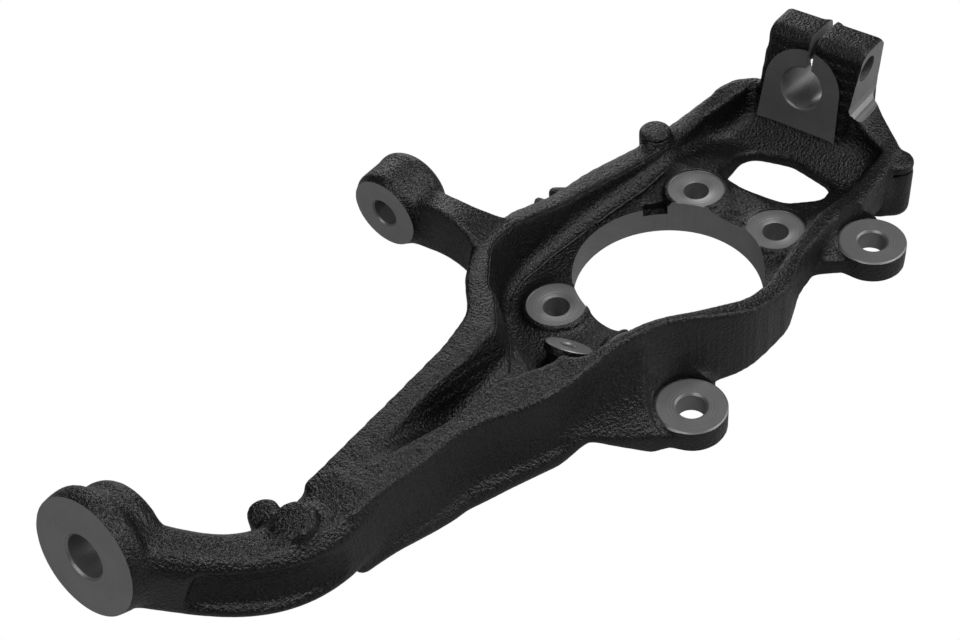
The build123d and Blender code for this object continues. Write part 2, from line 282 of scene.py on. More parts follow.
def filled_cells(corners, triangles, low, counts, cell):
    """Share of each grid cell that the closed mesh fills, measured along Z at the cell's column."""
    nx, ny, nz = counts
    depth = np.zeros((nx, ny, nz + 1), np.float32)
    for a, b, c in (corners[triangles] - low) / cell:
        area = (b[0] - a[0]) * (c[1] - a[1]) - (c[0] - a[0]) * (b[1] - a[1])
        if abs(area) < 1e-12:
            continue
        x0 = max(int(np.ceil(min(a[0], b[0], c[0]) - 0.5)), 0)
        x1 = min(int(np.floor(max(a[0], b[0], c[0]) - 0.5)), nx - 1)
        y0 = max(int(np.ceil(min(a[1], b[1], c[1]) - 0.5)), 0)
        y1 = min(int(np.floor(max(a[1], b[1], c[1]) - 0.5)), ny - 1)
        if x0 > x1 or y0 > y1:
            continue
        x, y = np.meshgrid(np.arange(x0, x1 + 1), np.arange(y0, y1 + 1), indexing="ij")
        px = x + 0.5
        py = y + 0.5
        u = ((b[0] - px) * (c[1] - py) - (c[0] - px) * (b[1] - py)) / area
        v = ((c[0] - px) * (a[1] - py) - (a[0] - px) * (c[1] - py)) / area
        w = 1 - u - v
        inside = (u >= 0) & (v >= 0) & (w >= 0)
        if not inside.any():
            continue
        height = (u * a[2] + v * b[2] + w * c[2])[inside]
        sign = -1.0 if area > 0 else 1.0
        level = np.clip(np.floor(height).astype(int), 0, nz - 1)
        part = height - level
        np.add.at(depth, (x[inside], y[inside], level), sign * (1 - part))
        np.add.at(depth, (x[inside], y[inside], level + 1), sign * part)
    return np.clip(np.cumsum(depth, axis=2)[:, :, :nz], 0, 1)


def blurred(field, sigma):
    """The field after a Gaussian blur of sigma cells."""
    reach = int(np.ceil(3 * sigma))
    steps = np.arange(-reach, reach + 1)
    weights = np.exp(-0.5 * (steps / sigma) ** 2)
    weights = (weights / weights.sum()).astype(np.float32)
    for axis in range(3):
        padded = np.zeros([n + 2 * reach * (i == axis) for i, n in enumerate(field.shape)], np.float32)
        window = [slice(None)] * 3
        window[axis] = slice(reach, reach + field.shape[axis])
        padded[tuple(window)] = field
        result = np.zeros_like(field)
        for k, weight in enumerate(weights):
            window[axis] = slice(k, k + field.shape[axis])
            result += weight * padded[tuple(window)]
        field = result
    return field


def surface(field, low, cell):
    """Quads of the half level of the field, one corner in each cell that the level crosses."""
    inside = field > 0.5
    shape = tuple(n - 1 for n in field.shape)
    total = np.zeros(shape + (3,), np.float32)
    hits = np.zeros(shape, np.int32)
    for axis in range(3):
        a = [slice(None)] * 3
        b = [slice(None)] * 3
        a[axis] = slice(0, -1)
        b[axis] = slice(1, None)
        f0 = field[tuple(a)]
        f1 = field[tuple(b)]
        cross = inside[tuple(a)] != inside[tuple(b)]
        where = np.argwhere(cross)
        t = (0.5 - f0[cross]) / (f1[cross] - f0[cross])
        point = where.astype(np.float32)
        point[:, axis] += t
        others = [k for k in range(3) if k != axis]
        for i in (0, -1):
            for j in (0, -1):
                home = where.copy()
                home[:, others[0]] += i
                home[:, others[1]] += j
                fit = (home >= 0).all(1) & (home < shape).all(1)
                index = tuple(home[fit].T)
                np.add.at(total, index, point[fit])
                np.add.at(hits, index, 1)
    used = hits > 0
    number = -np.ones(shape, np.int64)
    number[used] = np.arange(used.sum())
    corners = total[used] / hits[used][:, None]
    quads = []
    for axis in range(3):
        a = [slice(1, -1)] * 3
        b = [slice(1, -1)] * 3
        a[axis] = slice(0, -1)
        b[axis] = slice(1, None)
        cross = inside[tuple(a)] != inside[tuple(b)]
        where = np.argwhere(cross)
        start = inside[tuple(a)][cross]
        others = [k for k in range(3) if k != axis]
        where[:, others[0]] += 1
        where[:, others[1]] += 1
        ring = []
        for i, j in ((-1, -1), (0, -1), (0, 0), (-1, 0)):
            home = where.copy()
            home[:, others[0]] += i
            home[:, others[1]] += j
            ring.append(number[tuple(home.T)])
        ring = np.stack(ring, 1)
        turn = start if axis != 1 else ~start
        ring[~turn] = ring[~turn][:, ::-1]
        quads.append(ring)
    return low + (corners + 0.5) * cell, np.concatenate(quads)


def frame_at(centre, axis):
    """Matrix that stands Z along the axis at the centre, in millimetres."""
    turn = UP.rotation_difference(axis).to_matrix().to_4x4()
    return Matrix.Translation(centre) @ turn


def turned(profile, centre, axis, steps=ROUND_STEPS):
    """Closed mesh of a profile of radius and height turned about the axis."""
    place = frame_at(centre, axis)
    points = []
    faces = []
    count = len(profile)
    for i in range(steps):
        angle = 2 * pi * i / steps
        for radius, height in profile:
            points.append(place @ Vector((radius * cos(angle), radius * sin(angle), height)))
    for i in range(steps):
        j = (i + 1) % steps
        for k in range(count - 1):
            a, b = i * count + k, j * count + k
            if profile[k][0] == 0:
                faces.append((a, b + 1, a + 1))
            elif profile[k + 1][0] == 0:
                faces.append((a, b, a + 1))
            else:
                faces.append((a, b, b + 1, a + 1))
    return points, faces


def prism(outline, place, length):
    """Closed mesh of an outline in the place's X and Y, pushed along its Z."""
    count = len(outline)
    points = [place @ Vector((x, y, 0)) for x, y in outline]
    points += [place @ Vector((x, y, length)) for x, y in outline]
    faces = [tuple(range(count - 1, -1, -1)), tuple(range(count, 2 * count))]
    faces += [(i, (i + 1) % count, (i + 1) % count + count, i + count) for i in range(count)]
    return points, faces


def new_object(name, data):
    """New object in the scene."""
    item = bpy.data.objects.new(name, data)
    bpy.context.scene.collection.objects.link(item)
    return item


def make_object(name, points, faces, material):
    """Blender object in metres, its doubled corners merged and its faces turned outward."""
    mesh = bpy.data.meshes.new(name)
    mesh.from_pydata([Vector(point) * MM for point in points], [], faces)
    work = bmesh.new()
    work.from_mesh(mesh)
    bmesh.ops.remove_doubles(work, verts=work.verts, dist=TOOL_MERGE)
    bmesh.ops.recalc_face_normals(work, faces=work.faces)
    work.to_mesh(mesh)
    work.free()
    mesh.materials.append(material)
    return new_object(name, mesh)


class Grid:
    """Field of filled cells round the casting."""

    def __init__(self, corners, triangles):
        self.low = corners.min(0) - MARGIN - GRID_SHIFT
        self.counts = np.ceil((corners.max(0) + MARGIN - self.low) / CELL).astype(int)
        nx, ny, nz = self.counts
        small = np.array((CELL / 2, CELL / 2, CELL))
        filled = filled_cells(corners, triangles, self.low, (2 * nx, 2 * ny, nz), small)
        self.field = filled.reshape(nx, 2, ny, 2, nz).mean((1, 3))

    def centres(self, low, high):
        """Slices and cell centres of the part of the grid inside a box."""
        first = np.clip(np.floor((np.array(low) - self.low) / CELL).astype(int), 0, self.counts)
        last = np.clip(np.ceil((np.array(high) - self.low) / CELL).astype(int), 0, self.counts)
        part = tuple(slice(a, b) for a, b in zip(first, last))
        axes = [self.low[k] + (np.arange(first[k], last[k]) + 0.5) * CELL for k in range(3)]
        return part, np.meshgrid(*axes, indexing="ij")

    def cylinder(self, centre, axis, radius, start, end):
        """Fills a cylinder from start to end along its axis."""
        ends = [np.array(centre) + np.array(axis) * k for k in (start, end)]
        low = np.minimum(*ends) - radius - CELL
        high = np.maximum(*ends) + radius + CELL
        part, (x, y, z) = self.centres(low, high)
        dx, dy, dz = x - centre[0], y - centre[1], z - centre[2]
        along = dx * axis[0] + dy * axis[1] + dz * axis[2]
        across = np.sqrt(np.maximum(dx * dx + dy * dy + dz * dz - along * along, 0))
        share = np.clip((radius - across) / CELL + 0.5, 0, 1)
        share *= np.clip((along - start) / CELL + 0.5, 0, 1) * np.clip((end - along) / CELL + 0.5, 0, 1)
        self.field[part] = np.maximum(self.field[part], share)

    def rod(self, start, end, start_radius, end_radius):
        """Fills a round-ended rod whose radius changes evenly along it."""
        start, end = np.array(start, float), np.array(end, float)
        widest = max(start_radius, end_radius) + CELL
        part, (x, y, z) = self.centres(np.minimum(start, end) - widest, np.maximum(start, end) + widest)
        run = end - start
        offset = [x - start[0], y - start[1], z - start[2]]
        share = np.clip(sum(offset[k] * run[k] for k in range(3)) / (run @ run), 0, 1)
        gap = np.sqrt(sum((offset[k] - share * run[k]) ** 2 for k in range(3)))
        radius = start_radius + share * (end_radius - start_radius)
        self.field[part] = np.maximum(self.field[part], np.clip((radius - gap) / CELL + 0.5, 0, 1))

    def clear_front(self, centre, normal, radius, drop):
        """Empties what stands proud of a plane, inside a radius and above a drop from the centre."""
        part, (x, y, z) = self.centres(np.array(centre) - radius, np.array(centre) + radius)
        along = (x - centre[0]) * normal[0] + (y - centre[1]) * normal[1] + (z - centre[2]) * normal[2]
        keep = np.clip(0.5 - along / CELL, 0, 1)
        keep[z < centre[2] - drop] = 1
        self.field[part] *= keep

    def box(self, low, high):
        """Fills an upright box."""
        part, axes = self.centres(np.array(low) - CELL, np.array(high) + CELL)
        share = np.ones_like(axes[0])
        for k in range(3):
            share *= np.clip((axes[k] - low[k]) / CELL + 0.5, 0, 1)
            share *= np.clip((high[k] - axes[k]) / CELL + 0.5, 0, 1)
        self.field[part] = np.maximum(self.field[part], share)


def ramp(values, start, end):
    """Smooth rise from 0 at the start to 1 at the end."""
    share = np.clip((values - start) / (end - start), 0, 1)
    return share * share * (3 - 2 * share)


def sagged(points):
    """The points with the near wall lowered."""
    x, y, z = points.T
    along = ramp(x, *SAG_START) * (1 - ramp(x, *SAG_END))
    above = np.maximum(ramp(z, *SAG_ABOVE), ramp(x, *SAG_NECK))
    points = points.copy()
    points[:, 2] -= SAG * along * ramp(y, *SAG_ACROSS) * above
    return points


def add_cast_forms(grid):
    """Fills the neck's rim, the buttons, the back of the tie boss, the notch's floor and the seats' rims."""
    for (start, start_radius), (end, end_radius) in zip(NECK_RIM, NECK_RIM[1:]):
        grid.rod(start, end, start_radius, end_radius)
    for (x, y), radius, low, high in (NECK_BUTTON, WALL_BUTTON):
        grid.cylinder(Vector((x, y, 0)), UP, radius, low, high)
    grid.cylinder(TIE_CENTRE, TIE_AXIS, TIE_FACE + TIE_BACK, *TIE_BACK_SPAN)
    notch = Matrix.Rotation(radians(NOTCH_ANGLE), 3, "Z") @ Vector((HUB_RADIUS, 0, 0))
    grid.cylinder(notch, UP, NOTCH_FILL, NOTCH_FILL_FOOT, NOTCH_FLOOR)
    for x, y in bolt_centres():
        rim = SEAT_RADIUS + SEAT_RIM_WIDTH
        grid.cylinder(Vector((x, y, 0)), UP, rim, SEAT_RIM_FOOT, SEAT_HEIGHT + SEAT_RIM)


def add_stock(grid):
    """Metal that machining takes away again: bores are filled and machined faces stand proud."""
    grid.cylinder(Vector((0, 0, 0)), UP, HUB_RADIUS + HUB_STOCK, *HUB_STOCK_SPAN)
    for x, y in bolt_centres():
        grid.cylinder(Vector((x, y, 0)), UP, BOLT_RADIUS + BORE_STOCK, *BOLT_STOCK_SPAN)
    for x, y in EARS:
        low, high = EAR_BOTTOM - FACE_STOCK, EAR_TOP + FACE_STOCK
        grid.cylinder(Vector((x, y, 0)), UP, EAR_RADIUS + EAR_STOCK, low, high)
    grid.cylinder(CLAMP_CENTRE, -clamp_normal(), CLAMP_RADIUS + BORE_STOCK, *CLAMP_STOCK_SPAN)
    grid.clear_front(CLAMP_CENTRE, clamp_normal(), PAD_HALF + PAD_CLEAR, PAD_DROP - PAD_CLEAR_FOOT)
    grid.cylinder(PINCH_CENTRE, PINCH_AXIS, PINCH_RADIUS + BORE_STOCK, *PINCH_STOCK_SPAN)
    grid.box(*SLOT_STOCK)
    for centre, axis, bore, face, length in (
        (UPPER_CENTRE, UPPER_AXIS, UPPER_BORE, UPPER_FACE, UPPER_STOCK_DEPTH),
        (TIE_CENTRE, TIE_AXIS, TIE_BORE, TIE_FACE, TIE_STOCK_DEPTH),
        (SENSOR_CENTRE, -SENSOR_AXIS, SENSOR_BORE, SENSOR_FACE, SENSOR_DEPTH),
    ):
        grid.cylinder(centre, axis, bore + BORE_STOCK, 0, length)
        grid.cylinder(centre, axis, face, -FACE_STOCK, SEAT_STOCK)


def hub_profile():
    """Radius and height of the tool that bores the hub and faces its flange."""
    return [(0, -FLANGE_CUT), (FLANGE_RADIUS, -FLANGE_CUT), (FLANGE_RADIUS, 0), (HUB_RADIUS + HUB_CHAMFER, 0),
            (HUB_RADIUS, HUB_CHAMFER), (HUB_RADIUS, CUT_TOP), (0, CUT_TOP)]


def bolt_profile():
    """Radius and height of the tool that cuts a bolt's bore, sink and seat."""
    wall = SEAT_RADIUS + SEAT_WALL
    return [(0, BOLT_CUT_FOOT), (BOLT_RADIUS, BOLT_CUT_FOOT), (BOLT_RADIUS, SEAT_HEIGHT - BOLT_SINK_DEPTH),
            (BOLT_RADIUS + BOLT_SINK_WIDTH, SEAT_HEIGHT), (SEAT_RADIUS, SEAT_HEIGHT),
            (wall, SEAT_HEIGHT + SEAT_WALL_RISE), (wall, SEAT_CUT_TOP), (0, SEAT_CUT_TOP)]


def ear_profile():
    """Radius and height of the tool that cuts both faces of a caliper ear and its bore."""
    below = EAR_RADIUS + EAR_CUT
    inner, outer = (EAR_RADIUS + step for step in EAR_EDGE)
    pocket = EAR_RADIUS + EAR_POCKET
    return [(0, -CUT_FRONT), (below, -CUT_FRONT), (below, EAR_BOTTOM),
            (CALIPER_RADIUS + BORE_CHAMFER, EAR_BOTTOM), (CALIPER_RADIUS, EAR_BOTTOM + BORE_CHAMFER),
            (CALIPER_RADIUS, EAR_TOP - CALIPER_SINK), (CALIPER_RADIUS + CALIPER_SINK, EAR_TOP),
            (inner, EAR_TOP), (outer, EAR_TOP - EAR_CHAMFER), (pocket, EAR_TOP - EAR_CHAMFER),
            (pocket, EAR_CUT_TOP), (0, EAR_CUT_TOP)]


def bore_profile(bore, outer, face, depth):
    """Radius and height of a tool that bores a hole and faces its seat, where the seat passes the chamfer."""
    lip = bore + BORE_CHAMFER
    seat = [(outer, -CUT_FRONT), (outer, face)] if outer > lip else [(lip, -CUT_FRONT)]
    return [(0, -CUT_FRONT), *seat, (lip, face), (bore, face + BORE_CHAMFER), (bore, depth), (0, depth)]


def cutters(metal, coat):
    """The tools that machine the casting, as closed meshes. Past the wall radius they leave it as cast."""
    tools = []

    def add(name, shape, centre=None, wall=None):
        tool = make_object(name, *shape, metal)
        if wall:
            tool.data.materials.append(coat)
            for face in tool.data.polygons:
                if (face.center / MM - centre).xy.length > wall:
                    face.material_index = 1
        tools.append(tool)

    add("hub_tool", turned(hub_profile(), Vector((0, 0, 0)), UP, HUB_STEPS))
    for i, (x, y) in enumerate(bolt_centres()):
        centre = Vector((x, y, 0))
        add("bolt_tool_%d" % i, turned(bolt_profile(), centre, UP), centre, SEAT_RADIUS + SEAT_FINISH)
    for i, (x, y) in enumerate(EARS):
        centre = Vector((x, y, 0))
        add("ear_tool_%d" % i, turned(ear_profile(), centre, UP), centre, EAR_RADIUS + EAR_FINISH)
    for name, centre, axis, bore, outer, face, depth in (
        ("upper_tool", UPPER_CENTRE, UPPER_AXIS, UPPER_BORE, UPPER_CUT, 0, CUT_DEPTH),
        ("tie_tool", TIE_CENTRE, TIE_AXIS, TIE_BORE, TIE_CUT, 0, CUT_DEPTH),
        ("sensor_tool", SENSOR_CENTRE, -SENSOR_AXIS, SENSOR_BORE, SENSOR_CUT, 0, SENSOR_DEPTH),
        ("clamp_tool", CLAMP_CENTRE, -clamp_normal(), CLAMP_RADIUS, 0, -PAD_RISE, CUT_DEPTH),
    ):
        add(name, turned(bore_profile(bore, outer, face, depth), centre, axis))
    spot = [(0, UPPER_LENGTH), (UPPER_SPOT, UPPER_LENGTH), (UPPER_SPOT, CUT_TOP), (0, CUT_TOP)]
    add("spot_tool", turned(spot, UPPER_CENTRE, UPPER_AXIS))
    pinch = [(0, -PINCH_REACH), (PINCH_RADIUS, -PINCH_REACH), (PINCH_RADIUS, PINCH_REACH), (0, PINCH_REACH)]
    add("pinch_tool", turned(pinch, PINCH_CENTRE, PINCH_AXIS))
    return tools


def notch_tool(coat):
    """Cutter of the notch beside the hub bore, with its two outer corners taken off."""
    half = NOTCH_WIDTH / 2
    deep = NOTCH_DEPTH + NOTCH_INSET
    shoulder = deep - NOTCH_CORNER
    outline = [(0, -half), (shoulder, -half), (deep, -half + NOTCH_CORNER), (deep, half - NOTCH_CORNER),
               (shoulder, half), (0, half)]
    turn = Matrix.Rotation(radians(NOTCH_ANGLE), 4, "Z")
    place = turn @ Matrix.Translation((HUB_RADIUS - NOTCH_INSET, 0, NOTCH_FLOOR))
    return make_object("notch_tool", *prism(outline, place, NOTCH_CUT), coat)


def shape_tools(metal, coat):
    """Cutters for the notch, the slot, the clamp's side and the column's groove."""
    outline = [(0, 0), (SLOT_LENGTH, 0), (SLOT_LENGTH, SLOT_WIDTH), (0, SLOT_WIDTH)]
    place = Matrix.Translation((SLOT_X, SLOT_Y - SLOT_WIDTH / 2, CLAMP_CENTRE.z))
    slot = make_object("slot_tool", *prism(outline, place, SLOT_RISE), metal)
    # X and Y of the profile lie along the world's Y and Z
    across = Matrix(((0, 0, 1), (1, 0, 0), (0, 1, 0))).to_4x4()
    place = Matrix.Translation((BLOCK_FRONT_X, 0, 0)) @ across
    side = make_object("side_tool", *prism(SIDE_CUT, place, BLOCK_LENGTH), metal)
    column = Vector((*COLUMN_CENTRE, 0))
    groove = make_object("groove_tool", *turned(COLUMN_GROOVE, column, UP), coat)
    return [notch_tool(coat), slot, side, groove]


def smooth_path(points, steps=6):
    """Points along a smooth curve through given ones."""
    points = [np.array(point, float) for point in points]
    points = [2 * points[0] - points[1], *points, 2 * points[-1] - points[-2]]
    path = []
    for a, b, c, d in zip(points, points[1:], points[2:], points[3:]):
        for t in np.arange(steps) / steps:
            path.append(0.5 * (2 * b + (c - a) * t + (2 * a - 5 * b + 4 * c - d) * t**2
                               + (3 * b - a - 3 * c + d) * t**3))
    path.append(points[-2])
    return path


def bead(path, radius, steps=10):
    """Closed mesh of a round bead along a path, drawn in at its ends."""
    points = []
    faces = []
    last = len(path) - 1
    for i, middle in enumerate(path):
        run = path[min(i + 1, last)] - path[max(i - 1, 0)]
        across = Vector((-run[1], run[0], 0)).normalized()
        size = radius * min(1.0, RIB_END + RIB_GROWTH * min(i, last - i))
        for k in range(steps):
            angle = 2 * pi * k / steps
            points.append(Vector(middle) + across * size * cos(angle) + Vector((0, 0, size * sin(angle))))
    for i in range(last):
        for k in range(steps):
            j = (k + 1) % steps
            faces.append((i * steps + k, i * steps + j, (i + 1) * steps + j, (i + 1) * steps + k))
    faces.append(tuple(range(steps)))
    faces.append(tuple(range(last * steps, (last + 1) * steps)))
    return points, faces


def front_place():
    """Matrix of the clamp's front, with Y up the front and Z out of it."""
    normal = clamp_normal()
    side = Vector((0, -1, 0))
    front = Matrix((side, normal.cross(side), normal)).transposed().to_4x4()
    return Matrix.Translation(CLAMP_CENTRE) @ front


def faced(item, normal, metal, least):
    """Gives the bare metal to the faces that look along the normal."""
    item.data.materials.append(metal)
    for face in item.data.polygons:
        if face.normal.dot(normal) > least:
            face.material_index = 1
    return item


def clamp_pad(metal, coat):
    """Raised face of the clamp, round at the top and a little wider at its foot."""
    arc = [(PAD_HALF * cos(radians(angle)), PAD_HALF * sin(radians(angle))) for angle in range(0, 181, 4)]
    outline = [(PAD_FOOT_HALF, -PAD_DROP), *arc, (-PAD_FOOT_HALF, -PAD_DROP)]
    place = front_place() @ Matrix.Translation((0, 0, -PAD_DEPTH))
    pad = make_object("pad", *prism(outline, place, PAD_DEPTH + PAD_RISE), coat)
    return faced(pad, clamp_normal(), metal, PAD_FACING)


def sensor_seat(metal, coat):
    """Round seat of the sensor, on a thinner stem."""
    stem = SENSOR_THICK + SENSOR_STEM
    profile = [(0, 0), (SENSOR_RADIUS - SENSOR_EDGE, 0), (SENSOR_RADIUS, SENSOR_EDGE),
               (SENSOR_RADIUS, SENSOR_THICK), (SENSOR_NECK, SENSOR_THICK + SENSOR_STEP), (SENSOR_NECK, stem),
               (0, stem)]
    seat = make_object("seat", *turned(profile, SENSOR_CENTRE, -SENSOR_AXIS), coat)
    return faced(seat, SENSOR_AXIS, metal, SENSOR_FACING)


def added_pieces(metal, coat):
    """Crisp forms that stand on the casting: the clamp's pad, the sensor seat and the foot ribs."""
    pieces = [clamp_pad(metal, coat), sensor_seat(metal, coat)]
    for i, rib in enumerate(FOOT_RIBS):
        path = smooth_path([(x, y, FOOT_RIB_HEIGHT) for x, y in rib])
        pieces.append(make_object("foot_rib_%d" % i, *bead(path, FOOT_RIB_RADIUS), coat))
    return pieces


def casting_mesh(node, coat):
    """The casting with its edges and hollows rounded, before machining."""
    grid = Grid(*node_mesh(node))
    add_cast_forms(grid)
    add_stock(grid)
    fine = blurred(grid.field, EDGE_ROUND / CELL)
    broad = blurred(grid.field, HOLLOW_ROUND / CELL)
    blend = np.maximum(fine, broad)
    points, quads = surface(blend, grid.low, CELL)
    points = sagged(points)
    mesh = bpy.data.meshes.new("casting")
    mesh.from_pydata((points * MM).tolist(), [], quads.tolist())
    mesh.materials.append(coat)
    return new_object("casting", mesh)


def apply_modifiers(item):
    """Gives the item the mesh that its modifiers make of it."""
    bpy.context.view_layer.update()
    graph = bpy.context.evaluated_depsgraph_get()
    mesh = bpy.data.meshes.new_from_object(item.evaluated_get(graph))
    item.modifiers.clear()
    item.data = mesh


def combine(casting, tools, operation):
    """Joins every tool to the casting, or cuts it out of the casting."""
    for tool in tools:
        cut = casting.modifiers.new(tool.name, "BOOLEAN")
        cut.operation = operation
        cut.solver = "MANIFOLD"
        cut.material_mode = "TRANSFER"
        cut.object = tool
    apply_modifiers(casting)
    for tool in tools:
        bpy.data.objects.remove(tool)


def thin_out(casting):
    """Takes triangles out of the casting where it is flat."""
    casting.data.calc_loop_triangles()
    count = len(casting.data.loop_triangles)
    less = casting.modifiers.new("less", "DECIMATE")
    less.ratio = min(1.0, TARGET_TRIANGLES / count)
    apply_modifiers(casting)


def shade(casting, angle):
    """Smooth shading, with edges sharper than the angle kept crisp."""
    mesh = casting.data
    mesh.polygons.foreach_set("use_smooth", np.ones(len(mesh.polygons), bool))
    work = bmesh.new()
    work.from_mesh(mesh)
    for edge in work.edges:
        finishes = {face.material_index for face in edge.link_faces}
        same = len(edge.link_faces) == 2 and len(finishes) == 1
        edge.smooth = same and edge.calc_face_angle(0) < angle
    work.to_mesh(mesh)
    work.free()


def crest_edges(node):
    """Ends and normals of the edges where the crest meets the inside of the far wall, in millimetres."""
    work = bmesh.new()
    work.from_mesh(node.data)
    bmesh.ops.remove_doubles(work, verts=work.verts, dist=SOLID_MERGE)
    rows = []
    for edge in work.edges:
        if len(edge.link_faces) != 2:
            continue
        crest, wall = sorted(edge.link_faces, key=lambda face: -face.normal.z)
        a, b = (Vector(corner.co) / MM for corner in edge.verts)
        middle = (a + b) / 2
        sharp = crest.normal.z > CREST_LEVEL and abs(wall.normal.z) < CREST_UPRIGHT
        inward = wall.normal.y < CREST_INWARD
        near = CREST_X[0] < middle.x < CREST_X[1] and middle.y > CREST_Y and middle.z > CREST_Z
        if sharp and inward and near:
            rows.append((*a, *b, *(crest.normal - wall.normal).normalized()))
    work.free()
    return np.array(rows)


def mark_crease(casting, node):
    """Stores each corner's signed distance in millimetres from the crest's inner edge."""
    mesh = casting.data
    corners = np.zeros(len(mesh.vertices) * 3, np.float32)
    mesh.vertices.foreach_get("co", corners)
    corners = corners.reshape(-1, 3) / MM
    nearest = np.full(len(corners), CREASE_FAR, np.float32)
    signed = np.full(len(corners), CREASE_FAR, np.float32)
    for row in crest_edges(node):
        a, b, side = row[:3], row[3:6], row[6:]
        along = b - a
        share = np.clip((corners - a) @ along / (along @ along), 0, 1)
        offset = corners - (a + share[:, None] * along)
        distance = np.linalg.norm(offset, axis=1)
        closer = distance < nearest
        nearest[closer] = distance[closer]
        signed[closer] = (offset @ side)[closer]
    layer = mesh.attributes.new("crease", "FLOAT", "POINT")
    layer.data.foreach_set("value", signed)


def add_node(tree, kind, inputs=(), **settings):
    """New shader node, where each input is a socket and the value or the output that it takes."""
    item = tree.nodes.new(kind)
    for name, value in settings.items():
        setattr(item, name, value)
    for socket, value in inputs:
        if isinstance(value, bpy.types.NodeSocket):
            tree.links.new(value, item.inputs[socket])
        else:
            item.inputs[socket].default_value = value
    return item


def number(tree, operation, *values, clamp=False):
    """Result of a sum on numbers in the shader."""
    item = add_node(tree, "ShaderNodeMath", enumerate(values), operation=operation, use_clamp=clamp)
    return item.outputs[0]


def vector_sum(tree, operation, *values):
    """Node of a sum on vectors in the shader."""
    return add_node(tree, "ShaderNodeVectorMath", enumerate(values), operation=operation)


def noise(tree, vector, scale, detail=2.0, roughness=0.5):
    """Noise over a vector, from 0 to 1."""
    inputs = [("Vector", vector), ("Scale", scale), ("Detail", detail), ("Roughness", roughness)]
    return add_node(tree, "ShaderNodeTexNoise", inputs).outputs["Fac"]


def bumped(tree, height, distance, strength, normal=None):
    """Normal bent by a height, on top of another bent normal."""
    inputs = [("Height", height), ("Distance", distance), ("Strength", strength)]
    if normal is not None:
        inputs.append(("Normal", normal))
    return add_node(tree, "ShaderNodeBump", inputs).outputs["Normal"]


def new_material(name):
    """Material with its tree, shader and object coordinates."""
    material = bpy.data.materials.new(name)
    material.use_nodes = True
    tree = material.node_tree
    place = add_node(tree, "ShaderNodeTexCoord").outputs["Object"]
    return material, tree, tree.nodes["Principled BSDF"], place


def draw_marks(tree, place):
    """Height of the upright marks that drawing the pattern left, in patches on the upright faces."""
    stretch = (1, 1, MARK_STRETCH)
    stretched = vector_sum(tree, "MULTIPLY", place, stretch).outputs[0]
    marks = noise(tree, stretched, MARK_SCALE, detail=0.0)
    facing = add_node(tree, "ShaderNodeNewGeometry").outputs["Normal"]
    rise = add_node(tree, "ShaderNodeSeparateXYZ", [(0, facing)]).outputs["Z"]
    upright = number(tree, "LESS_THAN", number(tree, "ABSOLUTE", rise), MARK_UPRIGHT)
    patches = number(tree, "GREATER_THAN", noise(tree, place, MARK_PATCH_SCALE), MARK_PATCH_LEVEL)
    return number(tree, "MULTIPLY", marks, number(tree, "MULTIPLY", upright, patches))


def crease_line(tree, place):
    """Share of the crease, from 1 on its wandering line to 0 beside it."""
    crease = add_node(tree, "ShaderNodeAttribute", attribute_name="crease").outputs["Fac"]
    spread = noise(tree, place, CREASE_WANDER_SCALE)
    wander = number(tree, "MULTIPLY_ADD", spread, CREASE_WANDER, -CREASE_WANDER / 2)
    gap = number(tree, "ABSOLUTE", number(tree, "ADD", crease, wander))
    return number(tree, "SUBTRACT", 1.0, number(tree, "DIVIDE", gap, CREASE_WIDTH), clamp=True)


def coat_material():
    """Near-black semi-gloss coat over a sand casting, with draw marks on its upright faces."""
    material, tree, shader, place = new_material("cast_coat")
    shader.inputs["Base Color"].default_value = COAT_COLOUR
    shader.inputs["Specular IOR Level"].default_value = COAT_GLOSS
    grain = noise(tree, place, GRAIN_SCALE, roughness=GRAIN_ROUGHNESS)
    broad = noise(tree, place, BROAD_SCALE)
    marks = draw_marks(tree, place)
    groove = crease_line(tree, place)
    gloss = number(tree, "MULTIPLY_ADD", broad, BROAD_ROUGHNESS, COAT_ROUGHNESS - BROAD_ROUGHNESS / 2)
    rough = number(tree, "MULTIPLY_ADD", groove, CREASE_ROUGHNESS, gloss, clamp=True)
    tree.links.new(rough, shader.inputs["Roughness"])
    normal = bumped(tree, grain, GRAIN_DEPTH, 1.0)
    normal = bumped(tree, marks, MARK_DEPTH, 1.0, normal)
    normal = bumped(tree, number(tree, "MULTIPLY", groove, -1.0), CREASE_DEPTH, 1.0, normal)
    tree.links.new(normal, shader.inputs["Normal"])
    return material


def turned_distance(tree, place):
    """Distance from the nearest axis that a seat was turned about."""
    seats = [(Vector((x, y, 0)), UP) for x, y in bolt_centres() + EARS]
    seats += [(UPPER_CENTRE, UPPER_AXIS), (TIE_CENTRE, TIE_AXIS), (SENSOR_CENTRE, SENSOR_AXIS)]
    nearest = 1.0
    for centre, axis in seats:
        offset = vector_sum(tree, "SUBTRACT", place, centre * MM).outputs[0]
        across = vector_sum(tree, "CROSS_PRODUCT", offset, axis).outputs[0]
        nearest = number(tree, "MINIMUM", nearest, vector_sum(tree, "LENGTH", across).outputs["Value"])
    return nearest


